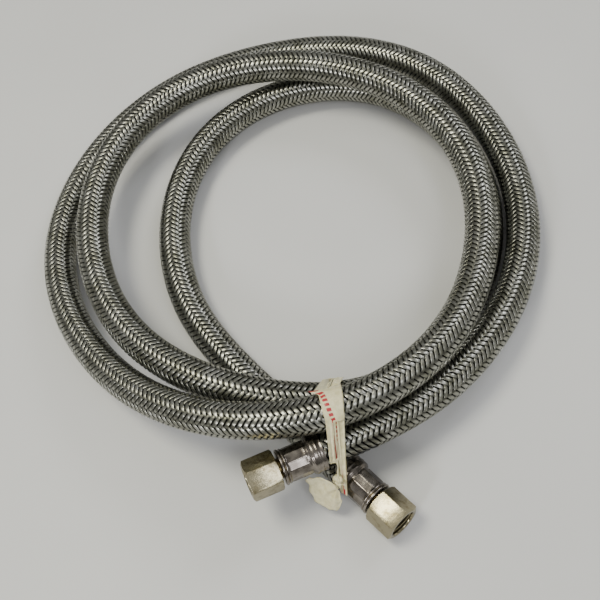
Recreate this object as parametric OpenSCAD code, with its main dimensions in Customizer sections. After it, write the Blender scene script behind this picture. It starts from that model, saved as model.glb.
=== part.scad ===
// Braided water supply line, coiled in three turns and tied for storage.
// A rubber inner tube in a woven steel sleeve, with a swivel nut at each end.
// All sizes in millimetres, +Z up, origin on the floor under the middle of the bounding box.

/* [Hose] */
// Outside diameter of the woven sleeve
hose_od = 14.6; // [14.2:0.1:14.7]
// Wall thickness of the woven sleeve
sleeve_wall = 0.9; // [0.6:0.1:1]
// Bore of the inner tube
tube_bore = 9.5; // [9:0.1:10]

/* [Swivel nuts] */
// Size across the flats of each hexagon nut
nut_flats = 14.1; // [13.9:0.1:14.3]
// Length of each nut
nut_length = 12.4; // [12:0.1:13]
// Radius of the threaded bore, measured to the crests of the thread
thread_r = 5; // [4.95:0.01:5.05]
// Length of the threaded stretch of the bore
thread_length = 5.4; // [5:0.1:5.8]
// Turn of the left nut about its own axis
left_nut_turn = 1; // [0:1:59]
// Turn of the right nut about its own axis
right_nut_turn = 42; // [0:1:59]

/* [Ferrules] */
// Outside diameter of the smooth bead next to the nut
bead_od = 14.2; // [14:0.1:14.4]
// Size across the twelve crimped flats
crimp_flats = 12.8; // [12.6:0.1:12.9]
// Outside diameter of the bulge next to the hose
bulge_od = 15.6; // [15.5:0.1:15.7]
// Thickness of the ferrule's sheet steel
sheet = 0.4; // [0.3:0.05:0.45]

/* [Stems] */
// Radius of the water passage through each stem
stem_bore_r = 2.6; // [2.2:0.1:2.8]
// Radius of the flange that the nut pulls against
flange_r = 4.85; // [4.8:0.05:4.9]
// Radius of the neck that the nut turns on
neck_r = 4; // [3.95:0.05:4]

/* [Packing tie] */
// Width of the tie's strip
tie_width = 9; // [8:1:10]
// Thickness of the crumpled strip
tie_thick = 0.7; // [0.6:0.1:1]

/* [Hidden] */
$fn = 64;

// Radii of the hose's three walls, and of the same walls where the ferrules squeeze them.
outer_r = hose_od / 2;
mid_r = outer_r - sleeve_wall;
bore_r = tube_bore / 2;
squeezed_outer_r = crimp_flats / 2 - sheet - 0.05;
squeezed_mid_r = squeezed_outer_r - sleeve_wall;
squeezed_bore_r = 4;

// Distances along a fitting, measured outwards from where the visible braid starts.
lip_z = 0.5;
bulge_z = 6.4;
crimp_z = 14.4;
bead_z = 17.05;
gap_z = 18;
fitting_length = gap_z + nut_length;
hose_end_z = 13.4;
barb_start_z = 3.4;

// The nut's bore, from its mouth to the shoulder that holds the stem's flange.
shoulder = 2;
mouth_depth = 0.9;
mouth_r = 5.9;
chamber_r = 5.6;
neck_clearance = 0.08;
flange_gap = 0.1;
flange_thick = 1.2;
washer_length = 2.7;

// The hose's centre line: guide points of a smooth curve, as [x, y, height above a hose
// that lies on the floor]. It runs from the left fitting three times round to the right one.
guides = [
    [21, -98, 16], [67, -76, 11], [98, -35, 6], [109, 11, 1], [101, 58, 0], [75, 101, 1],
    [34, 123, 1], [-16, 122, 0], [-63, 103, 1], [-97, 65, 0], [-110, 17, 0], [-98, -28, 3],
    [-65, -68, 11], [-22, -90, 24], [25, -92, 31], [67, -65, 24], [88, -18, 16], [88, 34, 15],
    [63, 75, 17], [18, 97, 19], [-35, 96, 19], [-76, 70, 16], [-92, 26, 12], [-80, -25, 12],
    [-47, -62, 17], [1, -80, 19], [46, -74, 6], [80, -38, 0], [95, 13, 0], [82, 63, 1],
    [46, 95, 3], [-2, 97, 3], [-41, 71, 3], [-56, 25, 1], [-44, -29, 0], [-5, -68, 0],
    [29, -101, 1]
];
spans = len(guides) - 1;
rings_per_span = 2;
sides = 12;

function lifted(i) = guides[i] + [0, 0, outer_r];
// A guide point, with one more past each end on the same straight line.
function guide(i) =
    i < 0 ? 2 * lifted(0) - lifted(1) :
    i > spans ? 2 * lifted(spans) - lifted(spans - 1) :
    lifted(i);
// A uniform cubic B-spline through the guides, at u from 0 to spans.
function route(u) =
    let (k = min(floor(u), spans - 1), t = u - k)
    (
        pow(1 - t, 3) * guide(k - 1) +
        (3 * pow(t, 3) - 6 * pow(t, 2) + 4) * guide(k) +
        (-3 * pow(t, 3) + 3 * pow(t, 2) + 3 * t + 1) * guide(k + 1) +
        pow(t, 3) * guide(k + 2)
    ) / 6;
function unit(v) = v / norm(v);

// Where each fitting starts, and the way it points out of the coil.
left_start = route(0);
left_way = unit(guide(-1) - guide(0));
right_start = route(spans);
right_way = unit(guide(spans + 1) - guide(spans));

// Stations of the swept hose, as [centre, how far it is squeezed from 0 to 1].
squeeze = [[hose_end_z, 1], [bulge_z - 0.6, 1], [bulge_z - 4, 0]];
left_stations = [for (s = squeeze) [left_start + s[0] * left_way, s[1]]];
right_stations = [
    for (i = [len(squeeze) - 1:-1:0])
    [right_start + squeeze[i][0] * right_way, squeeze[i][1]]
];
open_stations = [for (i = [0:spans * rings_per_span]) [route(i / rings_per_span), 0]];
stations = concat(left_stations, open_stations, right_stations);
last = len(stations) - 1;

// The tangent at a station, and frames that carry one direction along the hose untwisted.
function tangent(i) =
    i == 0 ? -left_way :
    i == last ? right_way :
    unit(unit(stations[i + 1][0] - stations[i][0]) + unit(stations[i][0] - stations[i - 1][0]));
function across(v, t) = unit(v - (v * t) * t);
function carry(i, v, done) =
    i > last ? done :
    let (n = across(v, tangent(i)))
    carry(i + 1, n, concat(done, [n]));
normals = carry(0, [0, 0, 1], []);

function ring(i, r) =
    let (n = normals[i], b = cross(tangent(i), n))
    [for (k = [0:sides - 1])
        stations[i][0] + r * (cos(k * 360 / sides) * n + sin(k * 360 / sides) * b)];
function wall_r(i, open_r, squeezed_r) = open_r + (squeezed_r - open_r) * stations[i][1];
function wall_points(open_r, squeezed_r) =
    [for (i = [0:last]) each ring(i, wall_r(i, open_r, squeezed_r))];
function skin_faces(first, flip) = [
    for (i = [0:last - 1], k = [0:sides - 1])
    let (
        a = first + i * sides + k,
        b = first + i * sides + (k + 1) % sides,
        c = b + sides,
        d = a + sides
    )
    each flip ? [[a, b, c], [a, c, d]] : [[c, b, a], [d, c, a]]
];
function end_faces(i, inner, flip) = [
    for (k = [0:sides - 1])
    let (
        a = i * sides + k,
        b = i * sides + (k + 1) % sides
    )
    each flip ? [[a, a + inner, b + inner], [a, b + inner, b]] :
        [[a, b, b + inner], [a, b + inner, a + inner]]
];

// One hollow wall of the hose, swept along the whole route.
module swept_wall(open_out, squeezed_out, open_in, squeezed_in) {
    inner = (last + 1) * sides;
    polyhedron(
        points = concat(wall_points(open_out, squeezed_out), wall_points(open_in, squeezed_in)),
        faces = concat(
            skin_faces(0, false), skin_faces(inner, true),
            end_faces(0, inner, false), end_faces(last, inner, true)
        )
    );
}

// Stands a fitting at the hose's end, with its own +Z pointing out of the coil.
module at_fitting(start, way) {
    translate(start)
        rotate([0, acos(way[2]), atan2(way[1], way[0])])
            children();
}

// A hexagon nut with a chamfered front, a countersunk mouth and a shouldered bore.
module nut(turn) {
    front = fitting_length;
    difference() {
        intersection() {
            translate([0, 0, gap_z])
                rotate([0, 0, turn])
                    cylinder(r = nut_flats / 2 / cos(30), h = nut_length, $fn = 6);
            union() {
                translate([0, 0, gap_z])
                    cylinder(r1 = nut_flats / 2 + 0.35, r2 = nut_flats / 2 + 1.5, h = 0.8);
                translate([0, 0, gap_z + 0.8])
                    cylinder(r = nut_flats / 2 + 1.5, h = nut_length - 1.8);
                translate([0, 0, front - 1])
                    cylinder(r1 = nut_flats / 2 + 1.5, r2 = nut_flats / 2 - 0.1, h = 1);
            }
        }
        translate([0, 0, gap_z - 1])
            cylinder(r = neck_r + neck_clearance, h = shoulder + 2);
        translate([0, 0, gap_z + shoulder])
            cylinder(r = chamber_r, h = nut_length - shoulder - mouth_depth - thread_length);
        translate([0, 0, front - mouth_depth - thread_length - 1])
            cylinder(r = thread_r, h = thread_length + mouth_depth + 2);
        translate([0, 0, front - mouth_depth])
            cylinder(r1 = thread_r, r2 = mouth_r, h = mouth_depth);
        translate([0, 0, front])
            cylinder(r = mouth_r, h = 1);
    }
}

// The height of the stem flange's rear face inside the nut.
flange_z = gap_z + shoulder + flange_gap;
washer_z = flange_z + flange_thick;

module cone_washer() {
    difference() {
        translate([0, 0, washer_z])
            cylinder(r1 = flange_r - 0.15, r2 = stem_bore_r + 0.5, h = washer_length);
        translate([0, 0, washer_z - 1])
            cylinder(r = stem_bore_r, h = washer_length + 2);
    }
}

// A turned brass stem: flange, neck, a disc that the ferrule grips, and a barbed tail.
module stem() {
    disc_z = bead_z - sheet;
    barbs = 4;
    barb_pitch = (hose_end_z - barb_start_z) / barbs;
    difference() {
        union() {
            translate([0, 0, flange_z])
                cylinder(r = flange_r, h = flange_thick);
            translate([0, 0, disc_z - 0.5])
                cylinder(r = neck_r, h = flange_z - disc_z + 0.5);
            translate([0, 0, disc_z - 1.5])
                cylinder(r = bead_od / 2 - sheet - 0.1, h = 1.5);
            translate([0, 0, barb_start_z])
                cylinder(r = 3.5, h = disc_z - 1 - barb_start_z);
            for (i = [0:barbs - 1])
                translate([0, 0, barb_start_z + i * barb_pitch])
                    cylinder(r1 = 3.4, r2 = 3.8, h = barb_pitch - 0.6);
        }
        translate([0, 0, barb_start_z - 1])
            cylinder(r = stem_bore_r, h = washer_z - barb_start_z + 2);
    }
}

// The ferrule's outer shape, or the hollow inside it when inset by the sheet's thickness.
module ferrule_shape(inset) {
    crimp_r = (crimp_flats / 2 - inset) / cos(15);
    bulge_r = bulge_od / 2 - inset;
    bead_r = bead_od / 2 - inset;
    corner = 1.2 - inset;
    lip_corner = 0.3;
    bulge_low = lip_z + inset;
    bulge_high = bulge_z - inset;
    bead_low = crimp_z + 0.5;
    bead_high = bead_z - inset;
    translate([0, 0, bulge_low])
        cylinder(r1 = bulge_r - lip_corner, r2 = bulge_r, h = lip_corner);
    translate([0, 0, bulge_low + lip_corner])
        cylinder(r = bulge_r, h = bulge_high - bulge_low - lip_corner - corner);
    translate([0, 0, bulge_high - corner])
        cylinder(r1 = bulge_r, r2 = bulge_r - corner, h = corner);
    translate([0, 0, bulge_high - 0.2])
        cylinder(r = crimp_r, h = crimp_z - bulge_high + 0.5, $fn = 12);
    translate([0, 0, bead_low - 0.5])
        cylinder(r1 = bead_r - 0.6, r2 = bead_r, h = 0.5);
    translate([0, 0, bead_low])
        cylinder(r = bead_r, h = bead_high - bead_low - 0.4);
    translate([0, 0, bead_high - 0.4])
        cylinder(r1 = bead_r, r2 = bead_r - 0.4, h = 0.4);
}

module ferrule() {
    difference() {
        union() {
            ferrule_shape(0);
            cylinder(r = outer_r + 0.4, h = lip_z + 0.2);
        }
        ferrule_shape(sheet);
        translate([0, 0, bead_z - 2])
            cylinder(r = neck_r + 0.02, h = 3);
        translate([0, 0, -1])
            cylinder(r = outer_r + 0.05, h = 3);
    }
}

module left_nut() {
    color("tan")
        at_fitting(left_start, left_way) nut(left_nut_turn);
}

module left_cone_washer() {
    color("dimgray")
        at_fitting(left_start, left_way) cone_washer();
}

module left_stem() {
    color("darkgoldenrod")
        at_fitting(left_start, left_way) stem();
}

module left_ferrule() {
    color("gray")
        at_fitting(left_start, left_way) ferrule();
}

module right_nut() {
    color("tan")
        at_fitting(right_start, right_way) nut(right_nut_turn);
}

module right_cone_washer() {
    color("dimgray")
        at_fitting(right_start, right_way) cone_washer();
}

module right_stem() {
    color("darkgoldenrod")
        at_fitting(right_start, right_way) stem();
}

module right_ferrule() {
    color("gray")
        at_fitting(right_start, right_way) ferrule();
}

module inner_tube() {
    color("darkslategray")
        swept_wall(mid_r, squeezed_mid_r, bore_r, squeezed_bore_r);
}

module braid_sleeve() {
    color("lightgray")
        swept_wall(outer_r, squeezed_outer_r, mid_r, squeezed_mid_r);
}

// The tie: a strip pulled tight round the four strands, with a knot and a loose tail.
// It crosses the strands at these places along the route.
tie_places = [0.2, 14.1, 25.6, 35.75];
tie_reach = 0.1;
strand_gap = 0.5;
knot = [27, -108, 18.5];
knot_r = 3.6;
tail = [knot + [-1, -3, -3], [16, -109, 6], [21, -117, 5]];

module strand_hull(grow) {
    hull()
        for (u = tie_places, side = [-2:2])
            translate(route(u + side * tie_reach))
                sphere(r = outer_r + grow, $fn = 20);
}

// The strip's own path seen from the front. It leans aside at the bottom, between the ferrules.
module tie_path() {
    half = tie_width / 2;
    translate([0, -60, 0])
        rotate([90, 0, 0])
            linear_extrude(60)
                polygon([
                    [18.5 - half / 2, -1], [22 + half / 4, -1], [22 + half / 4, 11],
                    [28 + half * 0.8, 21], [28.5 + half, 46], [28.5 - half, 46],
                    [28 - half * 0.7, 21], [18.5 - half / 2, 12]
                ]);
}

module bundle_tie() {
    color("linen") {
        difference() {
            intersection() {
                strand_hull(strand_gap + tie_thick);
                tie_path();
            }
            strand_hull(strand_gap);
            at_fitting(left_start, left_way)
                translate([0, 0, -0.3])
                    cylinder(r = bulge_od / 2 + 0.3, h = bulge_z);
            at_fitting(right_start, right_way)
                translate([0, 0, -0.3])
                    cylinder(r = bulge_od / 2 + 0.3, h = bulge_z);
        }
        hull() {
            translate(knot)
                sphere(r = knot_r, $fn = 24);
            translate(knot + [1, 4, 3])
                sphere(r = 1.5, $fn = 16);
        }
        hull()
            for (p = tail)
                translate(p)
                    sphere(r = 1.1, $fn = 16);
    }
}

left_nut();
left_cone_washer();
left_stem();
left_ferrule();
right_nut();
right_cone_washer();
right_stem();
right_ferrule();
inner_tube();
braid_sleeve();
bundle_tie();
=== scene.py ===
import math

import bmesh
import bpy
import numpy as np
from mathutils import Matrix, Vector, noise


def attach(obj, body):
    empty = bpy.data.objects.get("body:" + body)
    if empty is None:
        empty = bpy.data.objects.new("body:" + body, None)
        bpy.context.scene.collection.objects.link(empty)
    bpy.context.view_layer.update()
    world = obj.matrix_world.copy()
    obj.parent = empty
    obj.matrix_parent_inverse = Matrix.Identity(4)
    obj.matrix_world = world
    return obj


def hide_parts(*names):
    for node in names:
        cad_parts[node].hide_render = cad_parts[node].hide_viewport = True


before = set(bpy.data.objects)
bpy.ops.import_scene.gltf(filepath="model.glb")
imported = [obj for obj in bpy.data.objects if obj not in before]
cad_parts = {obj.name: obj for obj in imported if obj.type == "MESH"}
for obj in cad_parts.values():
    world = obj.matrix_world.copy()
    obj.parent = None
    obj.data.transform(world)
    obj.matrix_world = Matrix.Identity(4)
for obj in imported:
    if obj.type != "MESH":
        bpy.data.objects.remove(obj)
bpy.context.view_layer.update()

# ---- The camera ----
# A phone held above the table at arm's length, a little to the right of the coil's middle.
# It looks down at 60 degrees.
camera_place = (0.0589, -0.2128, 0.3464)
camera_right = (0.9910, 0.0335, -0.1294)
camera_up = (0.0335, 0.8750, 0.4830)
camera_back = (0.1294, -0.4830, 0.8660)

camera_data = bpy.data.cameras.new("camera")
camera_data.lens = 54
camera_data.sensor_width = 36
camera = bpy.data.objects.new("camera", camera_data)
bpy.context.collection.objects.link(camera)
turn = Matrix((camera_right, camera_up, camera_back)).transposed()
camera.matrix_world = Matrix.Translation(camera_place) @ turn.to_4x4()
bpy.context.scene.camera = camera


# ---- The inner tube ----
# A black rubber tube that carries the water from end to end. It is extruded in one length
# and pushed over a barbed stem at each end. Only dark gaps between the wires show it.
MM = 0.001
hose_d = 14.6
tube_r = 6.6
tube_bore_r = 4.75
ferrule_grip = 13.4

guides = np.array([
    [21, -98, 16], [67, -76, 11], [98, -35, 6], [109, 11, 1], [101, 58, 0], [75, 101, 1],
    [34, 123, 1], [-16, 122, 0], [-63, 103, 1], [-97, 65, 0], [-110, 17, 0], [-98, -28, 3],
    [-65, -68, 11], [-22, -90, 24], [25, -92, 31], [67, -65, 24], [88, -18, 16], [88, 34, 15],
    [63, 75, 17], [18, 97, 19], [-35, 96, 19], [-76, 70, 16], [-92, 26, 12], [-80, -25, 12],
    [-47, -62, 17], [1, -80, 19], [46, -74, 6], [80, -38, 0], [95, 13, 0], [82, 63, 1],
    [46, 95, 3], [-2, 97, 3], [-41, 71, 3], [-56, 25, 1], [-44, -29, 0], [-5, -68, 0],
    [29, -101, 1],
], float) + (0, 0, hose_d / 2)
spans = len(guides) - 1
# One more guide past each end, on the same straight line, so that the ends run out straight.
guides = np.vstack([2 * guides[0] - guides[1], guides, 2 * guides[-1] - guides[-2]])


def route(u):
    """The hose's centre line at each of the places u, from 0 to spans: a cubic B-spline."""
    u = np.atleast_1d(u).astype(float)
    k = np.minimum(u.astype(int), spans - 1)
    t = (u - k)[:, None]
    return (
        (1 - t) ** 3 * guides[k]
        + (3 * t**3 - 6 * t**2 + 4) * guides[k + 1]
        + (-3 * t**3 + 3 * t**2 + 3 * t + 1) * guides[k + 2]
        + t**3 * guides[k + 3]
    ) / 6


def unit(v):
    return v / np.linalg.norm(v, axis=-1, keepdims=True)


left_start = route(0)[0]
left_way = unit(guides[0] - guides[1])
right_start = route(spans)[0]
right_way = unit(guides[-1] - guides[-2])

# The centre line at even steps of about a millimetre, with its straight runs in the ferrules.
fine = route(np.linspace(0, spans, spans * 60 + 1))
fine_s = np.append(0, np.cumsum(np.linalg.norm(np.diff(fine, axis=0), axis=1)))
hose_length = fine_s[-1]
even_s = np.linspace(0, hose_length, int(hose_length) + 1)
even = np.stack([np.interp(even_s, fine_s, fine[:, k]) for k in range(3)], axis=1)
run = np.arange(1, 15)
line = np.vstack([
    left_start + run[::-1, None] * left_way, even, right_start + run[:, None] * right_way
])
line_s = np.concatenate([-run[::-1].astype(float), even_s, hose_length + run])
along = unit(np.gradient(line, line_s, axis=0))
side = np.empty_like(along)
carried = np.array([0.0, 0.0, 1.0])
for i, tangent in enumerate(along):
    carried = unit(carried - carried.dot(tangent) * tangent)
    side[i] = carried
other = np.cross(along, side)


def on_hose(s, angle, r):
    """Points at distance s along the hose, angle round it and radius r from its middle."""
    def at(table):
        return np.stack([np.interp(s, line_s, table[:, k]) for k in range(3)], axis=-1)

    radial = np.cos(angle)[..., None] * at(side) + np.sin(angle)[..., None] * at(other)
    return (at(line) + np.asarray(r)[..., None] * radial) * MM


def new_piece(name, mesh, body="hose"):
    piece = bpy.data.objects.new(name, mesh)
    bpy.context.collection.objects.link(piece)
    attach(piece, body)
    return piece


def tube_wall(s, r_out, r_in, sides):
    """A hollow tube along the hose: its outer wall, its bore and its two ends."""
    angle = np.linspace(0, 2 * math.pi, sides, endpoint=False)
    ss, aa = np.meshgrid(s, angle, indexing="ij")
    walls = [on_hose(ss, aa, np.broadcast_to(r[:, None], ss.shape)) for r in (r_out, r_in)]
    points = np.concatenate([w.reshape(-1, 3) for w in walls])
    rings = len(s)
    row, col = np.meshgrid(np.arange(rings - 1), np.arange(sides), indexing="ij")
    nxt = (col + 1) % sides
    quad = np.stack([row * sides + col, row * sides + nxt,
                     (row + 1) * sides + nxt, (row + 1) * sides + col], -1).reshape(-1, 4)
    k = np.arange(sides)
    k1 = (k + 1) % sides
    end = np.stack([k, k1, k1 + rings * sides, k + rings * sides], -1)
    faces = [quad, quad[:, ::-1] + rings * sides, end[:, ::-1], end + (rings - 1) * sides]
    mesh = bpy.data.meshes.new("tube")
    mesh.from_pydata(points.tolist(), [], np.concatenate(faces).tolist())
    mesh.polygons.foreach_set("use_smooth", [True] * len(mesh.polygons))
    return mesh


def colour(hex_value):
    """An sRGB hex colour as the linear colour that a shader needs."""
    parts = [int(hex_value[i:i + 2], 16) / 255 for i in (1, 3, 5)]
    linear = [p / 12.92 if p <= 0.04045 else ((p + 0.055) / 1.055) ** 2.4 for p in parts]
    return (*linear, 1)


def new_material(name, **shader):
    """A material whose shader has these settings, and its node tree."""
    material = bpy.data.materials.new(name)
    material.use_nodes = True
    tree = material.node_tree
    surface = tree.nodes["Principled BSDF"]
    for key, value in shader.items():
        surface.inputs[key.replace("_", " ")].default_value = value
    return material, tree


def node(tree, kind, inputs=None, **settings):
    """Adds a node. An input takes another node's output, or a plain value."""
    made = tree.nodes.new(kind)
    for key, value in settings.items():
        if hasattr(made, key):
            setattr(made, key, value)
        else:
            made.inputs[key.replace("_", " ")].default_value = value
    for key, source in (inputs or {}).items():
        if isinstance(source, bpy.types.NodeSocket):
            tree.links.new(source, made.inputs[key])
        else:
            made.inputs[key].default_value = source
    return made


# Extruded rubber is dull and hardly reflects, so the gaps between the wires look black.
rubber, tree = new_material(
    "extruded black rubber", Base_Color=colour("#0c0c0b"), Roughness=0.9,
    Specular_IOR_Level=0.1)
place = node(tree, "ShaderNodeTexCoord").outputs["Object"]
bloom = node(tree, "ShaderNodeTexNoise", {"Vector": place}, Scale=900, Detail=3)
tone = node(tree, "ShaderNodeValToRGB", {"Fac": bloom.outputs["Fac"]})
tone.color_ramp.elements[0].color = colour("#060606")
tone.color_ramp.elements[1].color = colour("#141312")
shader = tree.nodes["Principled BSDF"]
tree.links.new(tone.outputs["Color"], shader.inputs["Base Color"])

tube_s = np.concatenate([[-ferrule_grip, -5.8, -2.4], np.linspace(0, hose_length, 600),
                         hose_length + np.array([2.4, 5.8, ferrule_grip])])
squeezed = np.clip((np.maximum(-tube_s, tube_s - hose_length) - 2.4) / 3.4, 0, 1)
squeezed_r, squeezed_bore_r = 5.0, 4.0
tube_sides = 24
tube = new_piece("inner_water_tube", tube_wall(
    tube_s, tube_r + (squeezed_r - tube_r) * squeezed,
    tube_bore_r + (squeezed_bore_r - tube_bore_r) * squeezed, tube_sides))
tube.data.materials.append(rubber)
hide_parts("inner_tube")
tube_middle = on_hose(tube_s, 0 * tube_s, 0 * tube_s)


# ---- The woven sleeve ----
# Bright stainless wire, braided over the tube by a machine with 24 bobbins. Twelve flat
# bundles of wire run each way round, and each goes over two and under two of the others.
bundles = 12
lead = 28.5
over_width = 1.68
end_width = 1.3
bundle_rise = 0.1
weave_r = 6.98
weave_step = 0.15
crossings = 2 * bundles
braid_reach = 3.0
# A bundle is over the others at three rings of each four crossings, and under at three.
over_rings = (-0.2, 0.5, 1.2)
under_rings = (1.8, 2.5, 3.2)


def braid(way, chosen):
    """The chosen bundles of those that wind one way round the hose, as one mesh."""
    across = np.array([-0.5, -0.32, 0.32, 0.5])
    rise = np.array([0.0, 1.0, 1.0, 0.0]) * bundle_rise
    across_v = across + 0.5
    slope = math.atan2(2 * math.pi * weave_r, lead)
    repeats = np.arange(-60, 1 + int((hose_length + 400) / lead * crossings / 4))
    rings = (4 * repeats[:, None] + np.array(over_rings + under_rings)).reshape(-1)
    over_all = np.tile([1.0] * 3 + [-1.0] * 3, len(repeats)) * way
    middle_all = np.tile([0.0, 1.0, 0.0] * 2, len(repeats))
    # Known fault: the left-hand bundles start up to 22 mm late at the left ferrule, which
    # leaves a wedge there without them. It needs one lead taken off their starting place.
    # The left-hand rings run backwards along the hose, so their faces are turned over. They
    # are still split along the same diagonal, so that both hands have the same shape.
    corners = [0, 1, 2, 3] if way > 0 else [0, 3, 2, 1]
    points, faces, uvs, heights = [], [], [], []
    start = 0
    for b in chosen:
        place_all = (rings - 2 * b) * lead / crossings if way > 0 else (
            (2 * b + 4 * repeats[-1] - rings) * lead / crossings)
        kept = (place_all > -braid_reach) & (place_all < hose_length + braid_reach)
        s = place_all[kept]
        turned = rings[kept]
        over = over_all[kept]
        width = np.where(middle_all[kept] * over > 0, over_width, end_width)[:, None]
        count = len(s)
        angle = turned * 2 * math.pi / crossings
        ss = s[:, None] - way * across * width * math.sin(slope)
        aa = angle[:, None] + across * width * math.cos(slope) / weave_r
        rr = weave_r + weave_step * over[:, None] + rise
        points.append(on_hose(ss, aa, rr).reshape(-1, 3))
        row, col = np.meshgrid(np.arange(count - 1), np.arange(4), indexing="ij")
        nxt = (col + 1) % 4
        quad = np.stack([row * 4 + col, row * 4 + nxt,
                         (row + 1) * 4 + nxt, (row + 1) * 4 + col], -1).reshape(-1, 4)
        ends = np.array([[3, 2, 1, 0], [0, 1, 2, 3]]) + [[0], [(count - 1) * 4]]
        faces.append(np.concatenate([quad, ends])[:, corners] + start)
        start += 4 * count
        length = s / math.cos(slope)
        corner_u = np.stack([length[row], length[row], length[row + 1], length[row + 1]], -1)
        corner_v = np.stack([across_v[col], across_v[nxt], across_v[nxt], across_v[col]], -1)
        uv = np.stack([corner_u, corner_v], -1).reshape(-1, 4, 2)[:, corners]
        uvs.append(np.concatenate([uv, np.zeros((2, 4, 2))]))
        # The height runs from 0 under the other bundles to 1 over them; it drives a painted
        # shade on the parts that pass under.
        heights.append(np.repeat(0.5 + over * (0.3 + 0.2 * middle_all[kept]), 4))
    mesh = bpy.data.meshes.new("braid")
    mesh.from_pydata(np.concatenate(points).tolist(), [], np.concatenate(faces).tolist())
    layer = mesh.uv_layers.new(name="wire")
    layer.data.foreach_set("uv", np.concatenate(uvs).reshape(-1))
    height = mesh.attributes.new("height", "FLOAT", "POINT")
    height.data.foreach_set("value", np.concatenate(heights))
    mesh.polygons.foreach_set("use_smooth", [True] * len(mesh.polygons))
    return mesh


# Each bundle is a row of fine wires side by side. The wires are only shading here, and a
# little coarser than real 0.25 mm wires. They spread a highlight across the bundle and keep
# it tight along it. Painted shade darkens the grooves between the wires and the bundles'
# edges, and painted shade darkens the bundles where they pass under the others.
wires = 5
wire_metal, tree = new_material(
    "braided stainless wire", Base_Color=colour("#b4b3ad"), Metallic=1.0, Roughness=0.3,
    Anisotropic=0.8, Anisotropic_Rotation=0.25)
uv = node(tree, "ShaderNodeUVMap", uv_map="wire")
split = node(tree, "ShaderNodeSeparateXYZ", {"Vector": uv.outputs["UV"]})
turns = node(tree, "ShaderNodeMath", {0: split.outputs["Y"], 1: wires * math.pi},
             operation="MULTIPLY")
wave = node(tree, "ShaderNodeMath", {0: turns.outputs[0]}, operation="SINE")
ridge = node(tree, "ShaderNodeMath", {0: wave.outputs[0]}, operation="ABSOLUTE")
place = node(tree, "ShaderNodeTexCoord").outputs["Object"]
tarnish = node(tree, "ShaderNodeTexNoise", {"Vector": place}, Scale=140, Detail=4,
               Roughness=0.6)
tone = node(tree, "ShaderNodeValToRGB", {"Fac": tarnish.outputs["Fac"]})
tone.color_ramp.elements[0].color = colour("#858577")
tone.color_ramp.elements[0].position = 0.3
tone.color_ramp.elements[1].color = colour("#bdbdb5")
tone.color_ramp.elements[1].position = 0.7
# Painted shade: the grooves between the wires and the bundles' edges are darkened.
painted_groove_shade = node(tree, "ShaderNodeValToRGB", {"Fac": ridge.outputs[0]})
painted_groove_shade.color_ramp.elements[0].color = colour("#57554f")
painted_groove_shade.color_ramp.elements[1].color = colour("#ffffff")
painted_groove_shade.color_ramp.elements[1].position = 0.4
mixed = node(tree, "ShaderNodeMix", data_type="RGBA", blend_type="MULTIPLY")
mixed.inputs["Factor"].default_value = 1
tree.links.new(tone.outputs["Color"], mixed.inputs["A"])
tree.links.new(painted_groove_shade.outputs["Color"], mixed.inputs["B"])
bump = node(tree, "ShaderNodeBump", {"Height": ridge.outputs[0]},
            Strength=0.12, Distance=0.0001)
# Painted shade: the bundles are darkened where they pass under the others.
height = node(tree, "ShaderNodeAttribute", attribute_name="height")
shade = node(tree, "ShaderNodeValToRGB", {"Fac": height.outputs["Fac"]})
shade.color_ramp.elements[0].color = colour("#4a4945")
shade.color_ramp.elements[1].color = colour("#ffffff")
shade.color_ramp.elements[1].position = 0.8
painted_under_shade = node(tree, "ShaderNodeMix", data_type="RGBA", blend_type="MULTIPLY")
painted_under_shade.inputs["Factor"].default_value = 1
tree.links.new(mixed.outputs["Result"], painted_under_shade.inputs["A"])
tree.links.new(shade.outputs["Color"], painted_under_shade.inputs["B"])
shader = tree.nodes["Principled BSDF"]
tree.links.new(painted_under_shade.outputs["Result"], shader.inputs["Base Color"])
tree.links.new(bump.outputs["Normal"], shader.inputs["Normal"])
wire_way = node(tree, "ShaderNodeTangent", direction_type="UV_MAP", uv_map="wire")
tree.links.new(wire_way.outputs["Tangent"], shader.inputs["Tangent"])

for hand, way in (("right", 1), ("left", -1)):
    for part, first in (("a", 0), ("b", 1)):
        piece = new_piece("braid_%s_hand_wires_%s" % (hand, part),
                          braid(way, range(first, bundles, 2)))
        piece.data.materials.append(wire_metal)
        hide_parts("braid_sleeve")


# ---- The ferrules ----
# Thin stainless cups, pushed over the hose's ends and squeezed on to the stems by a press
# with twelve jaws. The jaws leave flats, and the metal bulges out behind them.
def fitting_place(start, way):
    """Turns a fitting's own +Z to point out of the coil, from where the braid starts."""
    lean = Matrix.Rotation(math.acos(way[2]), 4, "Y")
    swing = Matrix.Rotation(math.atan2(way[1], way[0]), 4, "Z")
    return Matrix.Translation(Vector(start) * MM) @ swing @ lean @ Matrix.Scale(MM, 4)


left_place = fitting_place(left_start, left_way)
right_place = fitting_place(right_start, right_way)
ferrule_steps = 144
crimp_apothem = 6.4


def lathe(outline, steps):
    """A bmesh turned from an outline of (radius, height) points about Z. It is closed."""
    bm = bmesh.new()
    ring = [bm.verts.new((r, 0, z)) for r, z in outline]
    edges = [bm.edges.new((a, b)) for a, b in zip(ring, ring[1:] + ring[:1])]
    bmesh.ops.spin(bm, geom=ring + edges, cent=(0, 0, 0), axis=(0, 0, 1),
                   angle=2 * math.pi, steps=steps, use_merge=True, use_duplicate=False)
    bmesh.ops.remove_doubles(bm, verts=bm.verts, dist=1e-4)
    bmesh.ops.recalc_face_normals(bm, faces=bm.faces)
    return bm


def arc(cr, cz, r, low, high, count):
    """Points on an arc of radius r round (cr, cz), from angle low to high in degrees."""
    angles = [math.radians(low + (high - low) * i / (count - 1)) for i in range(count)]
    return [(cr + r * math.cos(a), cz + r * math.sin(a)) for a in angles]


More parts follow.
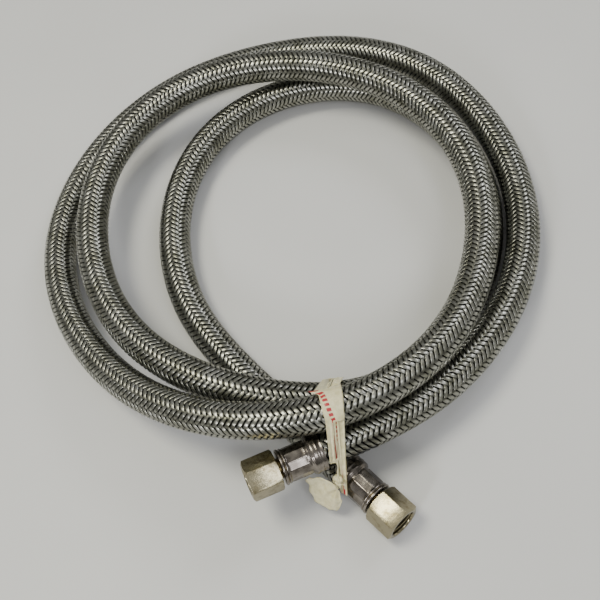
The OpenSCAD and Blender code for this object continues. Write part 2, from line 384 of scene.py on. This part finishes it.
def ferrule_outline():
    lip = arc(7.53, 0.28, 0.2, -90, 60, 5)
    bulge = arc(6.3, 2.3, 1.5, -20, 25, 6) + [(7.72, 3.6)] + arc(6.2, 4.0, 1.5, 10, 75, 8)
    crimp = [(6.5, 6.1), (6.52, 6.5), (6.62, 6.7), (6.5, 6.95)]
    crimp += [(6.5, z) for z in (8.5, 10.5, 12.5, 13.8)]
    bead = [(6.5, 14.3), (6.6, 14.6)] + arc(6.45, 15.05, 0.45, -45, 70, 6)
    bead += [(6.55, 15.6)] + arc(6.4, 16.3, 0.7, -60, 88, 10) + [(5.2, 17.02), (4.02, 17.02)]
    inside = [(4.02, 16.6), (6.2, 16.6), (6.3, 15.0), (5.98, 14.2), (5.98, 6.2), (7.2, 5.2)]
    inside += [(7.33, 4.6), (7.33, 0.1)]
    return lip + bulge + crimp + bead + inside


def ferrule(name, place):
    bm = lathe(ferrule_outline(), ferrule_steps)
    flat_turn = math.pi / 6
    for vert in bm.verts:
        x, y, z = vert.co
        r = math.hypot(x, y)
        if r < 6.3 or not 6 < z < 14.8:
            continue
        angle = math.atan2(y, x)
        off = (angle + flat_turn / 2) % flat_turn - flat_turn / 2
        pressed = min(1, max(0, (z - 6.2) / 0.7)) * min(1, max(0, (14.5 - z) / 0.7))
        corner = math.exp(-((abs(off) - flat_turn / 2) / 0.03) ** 2)
        flat_r = crimp_apothem / math.cos(off) + 0.05 * corner
        if 6.6 < z < 6.8:
            flat_r += 0.12 * (round(angle / flat_turn * 12) % 3 == 0)
        new_r = r + (flat_r - r) * pressed
        vert.co = (x * new_r / r, y * new_r / r, z)
    bm.transform(place)
    mesh = bpy.data.meshes.new(name)
    bm.to_mesh(mesh)
    bm.free()
    mesh.set_sharp_from_angle(angle=math.radians(50))
    return new_piece(name, mesh)


# Drawn stainless sheet is bright and a little smudged, so its highlights come and go.
sheet_steel, tree = new_material(
    "drawn stainless sheet", Base_Color=colour("#9a948c"), Metallic=1.0, Roughness=0.22)
place_out = node(tree, "ShaderNodeTexCoord").outputs["Object"]
smudge = node(tree, "ShaderNodeTexNoise", {"Vector": place_out}, Scale=260, Detail=5)
tone = node(tree, "ShaderNodeValToRGB", {"Fac": smudge.outputs["Fac"]})
tone.color_ramp.elements[0].color = colour("#5f5953")
tone.color_ramp.elements[0].position = 0.35
tone.color_ramp.elements[1].color = colour("#9a938b")
tone.color_ramp.elements[1].position = 0.7
polish = node(tree, "ShaderNodeMapRange", {"Value": smudge.outputs["Fac"]})
polish.inputs["To Min"].default_value = 0.18
polish.inputs["To Max"].default_value = 0.3
scratch = node(tree, "ShaderNodeTexNoise", {"Vector": place_out}, Scale=1500, Detail=2)
bump = node(tree, "ShaderNodeBump", {"Height": scratch.outputs["Fac"]},
            Strength=0.15, Distance=0.0001)
shader = tree.nodes["Principled BSDF"]
tree.links.new(tone.outputs["Color"], shader.inputs["Base Color"])
tree.links.new(polish.outputs["Result"], shader.inputs["Roughness"])
tree.links.new(bump.outputs["Normal"], shader.inputs["Normal"])

left_ferrule = ferrule("left_crimped_ferrule", left_place)
right_ferrule = ferrule("right_crimped_ferrule", right_place)
for piece, name in ((left_ferrule, "left_ferrule"), (right_ferrule, "right_ferrule")):
    piece.data.materials.append(sheet_steel)
    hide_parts(name)


# ---- The stems and cone washers ----
# Each stem is turned from brass bar: a flange for the nut to pull on, a neck that the nut
# turns on, and a barbed tail inside the hose. The black rubber cone in front of it seals.
# Turned brass stays warm in colour. Here it is painted dark brown all over, a painted shade
# for the dark gap where the neck shows between the nut and the ferrule, and its tone varies at
# random as tarnish does.
brass, tree = new_material(
    "turned brass", Base_Color=colour("#b39a5f"), Metallic=1.0, Roughness=0.3)
place_out = node(tree, "ShaderNodeTexCoord").outputs["Object"]
tarnish_and_gap_shade = node(tree, "ShaderNodeTexNoise", {"Vector": place_out}, Scale=400, Detail=4)
tone = node(tree, "ShaderNodeValToRGB", {"Fac": tarnish_and_gap_shade.outputs["Fac"]})
# Both ends of this ramp are dark brown: painted shade for the gap where the neck shows.
tone.color_ramp.elements[0].color = colour("#3b3424")
tone.color_ramp.elements[1].color = colour("#6e5f3d")
shader = tree.nodes["Principled BSDF"]
tree.links.new(tone.outputs["Color"], shader.inputs["Base Color"])

# Moulded rubber has a fine grain, which scatters what little it reflects.
washer_rubber, tree = new_material(
    "moulded black rubber", Base_Color=colour("#141414"), Roughness=0.6)
place_out = node(tree, "ShaderNodeTexCoord").outputs["Object"]
grain = node(tree, "ShaderNodeTexNoise", {"Vector": place_out}, Scale=2500, Detail=2)
bump = node(tree, "ShaderNodeBump", {"Height": grain.outputs["Fac"]},
            Strength=0.2, Distance=0.0001)
shader = tree.nodes["Principled BSDF"]
tree.links.new(bump.outputs["Normal"], shader.inputs["Normal"])

for end in ("left", "right"):
    for name, finish in ((end + "_stem", brass), (end + "_cone_washer", washer_rubber)):
        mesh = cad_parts[name].data
        mesh.materials.clear()
        mesh.materials.append(finish)


# ---- The swivel nuts ----
# Hexagon brass nuts, milled from bar, nickel plated and a little yellowed. The front edge
# is chamfered, and the mouth is countersunk ahead of a fine thread.
thread_crest_r = 5.0
thread_root_r = 5.5
thread_pitch = 25.4 / 24
thread_front, thread_back = 29.5, 24.1
edge_round = 0.14


def nut(name, cad_name, place, body):
    """The CAD nut with its edges eased, its bore opened to the thread's root, and a thread."""
    bm = bmesh.new()
    bm.from_mesh(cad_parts[cad_name].data)
    bm.transform(place.inverted())
    bmesh.ops.remove_doubles(bm, verts=bm.verts, dist=0.002)
    bmesh.ops.dissolve_limit(bm, angle_limit=math.radians(0.6), verts=bm.verts, edges=bm.edges)
    for vert in bm.verts:
        x, y, z = vert.co
        r = math.hypot(x, y)
        if abs(r - thread_crest_r) < 0.05:
            vert.co = (x * thread_root_r / r, y * thread_root_r / r, z)
    sharp = [e for e in bm.edges if len(e.link_faces) == 2
             and e.calc_face_angle(0) > math.radians(24)
             and min(math.hypot(*v.co[:2]) for v in e.verts) > 5.7]
    bmesh.ops.bevel(bm, geom=sharp, offset=edge_round, segments=2, profile=0.5,
                    affect="EDGES", material=-1, clamp_overlap=True)
    tooth = [(thread_root_r + 0.05, -0.42), (thread_crest_r, -0.08),
             (thread_crest_r, 0.08), (thread_root_r + 0.05, 0.42)]
    ring = [bm.verts.new((r, 0, thread_back + 0.4 + z)) for r, z in tooth]
    edges = [bm.edges.new((a, b)) for a, b in zip(ring, ring[1:] + ring[:1])]
    turns = (thread_front - thread_back - 0.8) / thread_pitch
    steps = int(turns * 40)
    bmesh.ops.spin(bm, geom=ring + edges, cent=(0, 0, 0), axis=(0, 0, 1),
                   dvec=(0, 0, thread_pitch * turns / steps), angle=2 * math.pi * turns,
                   steps=steps, use_merge=False, use_duplicate=False)
    bmesh.ops.holes_fill(bm, edges=[e for e in bm.edges if e.is_boundary], sides=4)
    bmesh.ops.recalc_face_normals(bm, faces=bm.faces)
    bm.transform(place)
    mesh = bpy.data.meshes.new(name)
    bm.to_mesh(mesh)
    bm.free()
    mesh.polygons.foreach_set("use_smooth", [True] * len(mesh.polygons))
    mesh.set_sharp_from_angle(angle=math.radians(22))
    piece = new_piece(name, mesh, body)
    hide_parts(cad_name)
    return piece


# Nickel plate is shiny where it is clean, and yellowed and finely pitted where it is worn.
nickel, tree = new_material(
    "yellowed nickel plate", Base_Color=colour("#c9c2ab"), Metallic=1.0, Roughness=0.3)
place_out = node(tree, "ShaderNodeTexCoord").outputs["Object"]
stain = node(tree, "ShaderNodeTexNoise", {"Vector": place_out}, Scale=320, Detail=6,
             Roughness=0.65)
tone = node(tree, "ShaderNodeValToRGB", {"Fac": stain.outputs["Fac"]})
tone.color_ramp.elements[0].color = colour("#7a7053")
tone.color_ramp.elements[0].position = 0.34
tone.color_ramp.elements[1].color = colour("#9c947a")
tone.color_ramp.elements[1].position = 0.5
polish = node(tree, "ShaderNodeMapRange", {"Value": stain.outputs["Fac"]})
polish.inputs["To Min"].default_value = 0.3
polish.inputs["To Max"].default_value = 0.2
pits = node(tree, "ShaderNodeTexNoise", {"Vector": place_out}, Scale=1100, Detail=3)
bump = node(tree, "ShaderNodeBump", {"Height": pits.outputs["Fac"]},
            Strength=0.25, Distance=0.0001)
shader = tree.nodes["Principled BSDF"]
tree.links.new(tone.outputs["Color"], shader.inputs["Base Color"])
tree.links.new(polish.outputs["Result"], shader.inputs["Roughness"])
tree.links.new(bump.outputs["Normal"], shader.inputs["Normal"])

left_nut = nut("left_swivel_nut", "left_nut", left_place, "left_nut")
right_nut = nut("right_swivel_nut", "right_nut", right_place, "right_nut")
for piece in (left_nut, right_nut):
    piece.data.materials.append(nickel)


# ---- The packing tie ----
# A strip torn from thin cream plastic sheet, folded double along its length, pulled round
# the coil and knotted in front. It is crumpled, and one end fans out below the knot.
strip_thick = 0.1
knot = np.array([27.0, -108.0, 18.5])
columns = 33
across = np.linspace(0, 1, columns)
# Where the loop runs, by the angle round the strands, starting from the knot.
loop_turn = (190, 240, 270, 300, 360, 400, 450, 500, 530, 550)
loop_x = (27.0, 24.5, 19.5, 19.5, 23.5, 25.4, 26.8, 27.8, 28.0, 27.2)
loop_half = (1.0, 1.8, 2.8, 3.2, 3.8, 4.2, 4.1, 3.5, 2.2, 1.0)
tie_places = (0.2, 14.1, 25.6, 35.75)


def wobble(p, size, seed):
    return noise.noise(Vector(p) / size + Vector((seed, seed * 0.7, seed * 1.3)))


strand_cuts = {}


def strands_at(x):
    """Where each of the four strands crosses the plane at this x, and which way it runs."""
    x = round(x * 2) / 2
    if x not in strand_cuts:
        cuts = []
        for u in tie_places:
            places = route(np.linspace(max(0, u - 0.3), min(spans, u + 0.3), 61))
            k = min(np.argmin(abs(places[:, 0] - x)), 59)
            cuts.append((places[k], unit(places[k + 1] - places[k])))
        strand_cuts[x] = cuts
    return strand_cuts[x]


def loop_point(turn, x):
    """The outermost point of the strands at this x, in the direction turned from +Y."""
    way = np.array([0, math.cos(turn), math.sin(turn)])
    best = None
    for middle, run_way in strands_at(x):
        skew = run_way.dot(way) / run_way[0]
        stretch = math.sqrt(1 + skew**2)
        reach = middle.dot(way) + hose_d / 2 * stretch
        if best is None or reach > best[0]:
            radial = way - skew * np.array([1.0, 0, 0]) + skew / run_way[0] * run_way
            best = (reach, middle + hose_d / 2 / stretch * radial)
    point = best[1] + 0.3 * way
    point[0] = x
    return point, way


def gathered(row):
    """The strip's section where it is bunched into a rope, as (aside, out) columns."""
    angle = across * 2 * math.pi * 1.1
    lumps = np.array([wobble((c * 6, row * 0.35, 0), 1, 5) for c in across])
    r = 0.85 + 0.5 * lumps
    return r * np.cos(angle), r * np.sin(angle)


def folded(row, half, pleat):
    """The strip's section where it lies folded double: the fold is on the right."""
    aside = np.where(across < 0.5, 4 * across - 1, 3 - 4 * across) * half
    free = wobble((row * 0.07, 0, 0), 1, 9)
    aside += np.where(across > 0.5, (across - 0.5) * (0.8 + 1.6 * free), 0)
    out = np.where(across < 0.5, 0.15, 0.6) + 0 * aside
    out += pleat * np.array([max(-0.35, math.sin(
        c * 31 + 1.5 * wobble((row * 0.05, c, 0), 1, 2))) for c in across])
    out += 0.35 * np.array([max(-0.3, wobble((row * 0.13, c * 3, 0), 1, 4)) for c in across])
    return aside, out


def smooth_step(x):
    x = min(1, max(0, x))
    return x * x * (3 - 2 * x)


turns = np.radians(np.linspace(loop_turn[0], loop_turn[-1], 361))
xs = np.interp(np.degrees(turns), loop_turn, loop_x)
middle_line = np.array([loop_point(t, x)[0] for t, x in zip(turns, xs)])
loop_d = np.append(0, np.cumsum(np.linalg.norm(np.diff(middle_line, axis=0), axis=1)))
rows = []

# The long end: its pleats fan out from the knot, down and to the left.
fan_start = np.array([26.6, -110.4, 17.4])
fan_left, fan_right = np.array([-10.6, 4.4, -0.8]), np.array([-0.8, -5.8, -11.6])
fan_reach = np.interp(across, (0, 0.42, 0.8, 1), (1, 1.22, 1, 0.55))
fan_rays = np.array([fan_left * math.cos(a) + fan_right * math.sin(a)
                     for a in across * math.pi * 0.6]) * fan_reach[:, None]
fan_out = unit(np.cross(fan_right, fan_left))
fan_out = fan_out if fan_out[2] > 0 else -fan_out
for i in range(17, -1, -1):
    t = i / 17
    reach = np.array([1 + 0.1 * wobble((c * 9, 0, 0), 1, 7) * t**3
                      + 0.14 * math.exp(-((c - 0.1) / 0.05) ** 2) * t**4 for c in across]) * t
    crumple = np.array([
        0.5 * math.sin(c * 17 + 1) * (1.2 - t) + 0.8 * wobble((c * 3.4, t * 2.2, 0), 1, 3)
        + 0.4 * wobble((c * 9, t * 6, 0), 1, 8) for c in across])
    out = 2.2 * np.sin(across * math.pi) * t * (1.3 - t) + crumple * smooth_step(t * 2)
    base_aside, base_out = gathered(i)
    rope = (1 - smooth_step(t * 2.5))
    raised = 2.4 * math.sin(math.pi * min(1, t * 1.1)) * (1 - across) ** 2
    rows.append(fan_start + fan_rays * reach[:, None] + fan_out * out[:, None]
                + np.array([0, 0.4, 1.0]) * raised[:, None]
                + rope * 0.7 * (unit(fan_left - fan_right) * base_aside[:, None]
                                + fan_out * base_out[:, None]))


def wrap(first, turned, r, tilt, drift, count):
    """The gathered strip going round the knot."""
    axis = np.array([math.sin(tilt), -math.cos(tilt) * 0.5, math.cos(tilt) * 0.86])
    one = unit(np.cross(axis, (0, 1.0, 0.2)))
    two = np.cross(unit(axis), one)
    for i in range(count):
        angle = first + turned * i / (count - 1)
        radial = math.cos(angle) * one + math.sin(angle) * two
        aside, out = gathered(i + 40 * tilt)
        middle = knot + radial * r + unit(axis) * drift * (i / (count - 1) - 0.5)
        rows.append(middle + unit(axis) * aside[:, None] + radial * out[:, None])


wrap(0.4, 5.6, 1.1, 0.5, 1.4, 16)
steps = int(loop_d[-1] / 0.8)
print_from = 0
for i in range(steps + 1):
    d = loop_d[-1] * i / steps
    turn_here = np.interp(d, loop_d, turns)
    x = np.interp(d, loop_d, xs)
    half = np.interp(math.degrees(turn_here), loop_turn, loop_half)
    to_knot = min(d, loop_d[-1] - d)
    open_out = smooth_step((to_knot - 2) / 11)
    pleat = 0.12 + 0.3 * (1 - smooth_step((to_knot - 6) / 22))
    flat_aside, flat_out = folded(i, half, pleat)
    rope_aside, rope_out = gathered(i)
    wing = 3.6 * math.exp(-((math.degrees(turn_here) - 408) / 7) ** 2)
    flat_aside = flat_aside - wing * np.clip(across - 0.8, 0, 1) * 5
    flat_out = flat_out + 0.35 * wing * np.clip(across - 0.8, 0, 1) * 5
    aside = open_out * flat_aside + (1 - open_out) * rope_aside
    out = open_out * flat_out + (1 - open_out) * (rope_out + 0.8)
    held = smooth_step(to_knot / 9)
    row = []
    for a, o in zip(aside, out):
        point, way = loop_point(turn_here, x + a)
        near = knot + (a, 0, 0)
        row.append(point * held + near * (1 - held) + way * o)
    rows.append(np.array(row))
    if math.degrees(turn_here) < 400:
        print_from = len(rows)
wrap(2.5, -6.0, 1.3, -0.6, 1.2, 16)
for i in range(7):
    t = i / 6
    half = 0.7 + 0.5 * t
    middle = knot + (0.6 + 2.2 * t, -1.4 - 0.6 * t, 0.4 - 1.2 * t)
    out = np.array([0.6 * wobble((c * 6, t * 3, 0), 1, 6) for c in across])
    rows.append(middle + np.array([0.5, -0.3, 0.8]) * ((2 * across - 1) * half)[:, None]
                + np.array([0.2, -0.9, 0.4]) * out[:, None])

# Nothing sinks into the hose, a ferrule or the table.
ferrule_clear, hose_gap, table_gap = 8.1, 0.22, 0.15
rows = np.array(rows)
clear = np.where((line_s < -0.2) | (line_s > hose_length + 0.2), ferrule_clear,
                 hose_d / 2 + hose_gap)
near_tie = np.linalg.norm(line[:, :2] - (25, -95), axis=1) < 40
hose_line, hose_clear = line[near_tie], clear[near_tie]
for _ in range(4):
    flat_rows = rows.reshape(-1, 3)
    gap = flat_rows[:, None, :] - hose_line[None, :, :]
    far = np.linalg.norm(gap, axis=2)
    worst = np.argmin(far - hose_clear, axis=1)
    k = np.arange(len(flat_rows))
    short = np.maximum(0, (hose_clear[worst] - far[k, worst]))
    flat_rows = flat_rows + gap[k, worst] / far[k, worst][:, None] * short[:, None]
    flat_rows[:, 2] = np.maximum(flat_rows[:, 2], table_gap)
    rows = flat_rows.reshape(rows.shape)

strip_steps = np.diff(rows[:, 3 * columns // 4], axis=0)
strip_d = np.append(0, np.cumsum(np.linalg.norm(strip_steps, axis=1)))
bm = bmesh.new()
layer = bm.loops.layers.uv.new("strip")
grid = [[bm.verts.new(Vector(p) * MM) for p in row] for row in rows]
for i in range(len(rows) - 1):
    for j in range(columns - 1):
        face = bm.faces.new((grid[i][j], grid[i][j + 1], grid[i + 1][j + 1], grid[i + 1][j]))
        face.smooth = True
        for loop, a, d in zip(face.loops, (j, j + 1, j + 1, j), (i, i, i + 1, i + 1)):
            loop[layer].uv = (strip_d[d], across[a])
strip_mesh = bpy.data.meshes.new("packing_tie")
bm.to_mesh(strip_mesh)
bm.free()

# Thin plastic lets a little light through, so the strip looks waxy. The row of red dashes
# stands for a line of print.
print_start, print_run = float(strip_d[print_from]), 39.0
line_half, dash_step, dash_length = 0.055, 1.9, 1.14
strip, tree = new_material(
    "crumpled polythene strip", Base_Color=colour("#d9d2a8"), Roughness=0.38,
    Subsurface_Weight=0.3)
shader = tree.nodes["Principled BSDF"]
shader.inputs["Subsurface Radius"].default_value = (0.002, 0.0017, 0.0012)
place_out = node(tree, "ShaderNodeTexCoord").outputs["Object"]
crease = node(tree, "ShaderNodeTexNoise", {"Vector": place_out}, Scale=520, Detail=5,
              Roughness=0.6)
bump = node(tree, "ShaderNodeBump", {"Height": crease.outputs["Fac"]},
            Strength=0.35, Distance=0.0003)
tone = node(tree, "ShaderNodeValToRGB", {"Fac": crease.outputs["Fac"]})
tone.color_ramp.elements[0].color = colour("#cac296")
tone.color_ramp.elements[0].position = 0.3
tone.color_ramp.elements[1].color = colour("#e6dfba")
tone.color_ramp.elements[1].position = 0.7
uv = node(tree, "ShaderNodeUVMap", uv_map="strip")
split = node(tree, "ShaderNodeSeparateXYZ", {"Vector": uv.outputs["UV"]})
line_place = node(tree, "ShaderNodeMapRange", {"Value": split.outputs["X"]}, clamp=False)
for key, value in (("From Min", print_start), ("From Max", print_start + print_run),
                   ("To Min", 0.96), ("To Max", 0.56)):
    line_place.inputs[key].default_value = value

strip_along = split.outputs["X"]
on_line = node(tree, "ShaderNodeMath", {
    0: split.outputs["Y"], 1: line_place.outputs[0], 2: line_half}, operation="COMPARE")
in_run = node(tree, "ShaderNodeMath", {
    0: strip_along, 1: print_start + print_run / 2, 2: print_run / 2}, operation="COMPARE")
step = node(tree, "ShaderNodeMath", {0: strip_along, 1: dash_step}, operation="MODULO")
dash = node(tree, "ShaderNodeMath", {0: step.outputs[0], 1: dash_length},
            operation="LESS_THAN")
marks = node(tree, "ShaderNodeMath", {0: on_line.outputs[0], 1: dash.outputs[0]},
             operation="MULTIPLY")
marks = node(tree, "ShaderNodeMath", {0: marks.outputs[0], 1: in_run.outputs[0]},
             operation="MULTIPLY")
printed = node(tree, "ShaderNodeMix", data_type="RGBA")
tree.links.new(marks.outputs[0], printed.inputs["Factor"])
tree.links.new(tone.outputs["Color"], printed.inputs["A"])
printed.inputs["B"].default_value = colour("#b03038")
tree.links.new(printed.outputs["Result"], shader.inputs["Base Color"])
tree.links.new(bump.outputs["Normal"], shader.inputs["Normal"])

tie = new_piece("packing_tie", strip_mesh)
tie.data.materials.append(strip)
solid = tie.modifiers.new("thickness", "SOLIDIFY")
solid.thickness = strip_thick * MM
solid.offset = 1
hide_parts("bundle_tie")


# ---- The table and the light ----
# A pale grey table, and soft light from above and behind.
floor_bm = bmesh.new()
bmesh.ops.create_grid(floor_bm, x_segments=1, y_segments=1, size=3)
floor_mesh = bpy.data.meshes.new("table")
floor_bm.to_mesh(floor_mesh)
floor_bm.free()
floor = bpy.data.objects.new("table", floor_mesh)
bpy.context.collection.objects.link(floor)
# Matt paint has soft, wide reflections, and its tone varies a little from place to place.
paint, tree = new_material("pale grey table", Base_Color=colour("#cccccb"), Roughness=0.55)
place_out = node(tree, "ShaderNodeTexCoord").outputs["Object"]
mottle = node(tree, "ShaderNodeTexNoise", {"Vector": place_out}, Scale=9, Detail=4)
tone = node(tree, "ShaderNodeValToRGB", {"Fac": mottle.outputs["Fac"]})
tone.color_ramp.elements[0].color = colour("#c3c3c2")
tone.color_ramp.elements[1].color = colour("#d0d0cf")
tree.links.new(tone.outputs["Color"], tree.nodes["Principled BSDF"].inputs["Base Color"])
floor_mesh.materials.append(paint)


def soft_light(name, place, size, power, tint):
    """A round lamp that is aimed at the middle of the coil."""
    lamp = bpy.data.lights.new(name, "AREA")
    lamp.shape = "DISK"
    lamp.size = size
    lamp.energy = power
    lamp.color = colour(tint)[:3]
    light = bpy.data.objects.new(name, lamp)
    bpy.context.collection.objects.link(light)
    way = (-Vector(place)).to_track_quat("-Z", "Y")
    light.matrix_world = Matrix.Translation(place) @ way.to_matrix().to_4x4()


soft_light("ceiling_light", (-0.42, 0.02, 1.2), 0.5, 10.5, "#fdfae6")
soft_light("lamp", (-0.42, -0.98, 0.6), 0.22, 4.8, "#ffffff")
soft_light("window_light", (0.6, -0.75, 1.2), 0.5, 4.5, "#f8faff")
soft_light("side_light", (0.75, 0.75, 0.9), 0.5, 4.5, "#f8faff")
world = bpy.data.worlds.new("room")
bpy.context.scene.world = world
world.use_nodes = True
sky = world.node_tree
upward = node(sky, "ShaderNodeSeparateXYZ", {
    "Vector": node(sky, "ShaderNodeTexCoord").outputs["Generated"]})
room = node(sky, "ShaderNodeValToRGB", {"Fac": upward.outputs["Z"]})
room.color_ramp.elements[0].color = colour("#858581")
room.color_ramp.elements[0].position = 0.1
room.color_ramp.elements[1].color = colour("#e9e9e6")
room.color_ramp.elements[1].position = 0.7
sky.links.new(room.outputs["Color"], sky.nodes["Background"].inputs["Color"])
sky.nodes["Background"].inputs["Strength"].default_value = 0.6

bpy.context.view_layer.update()
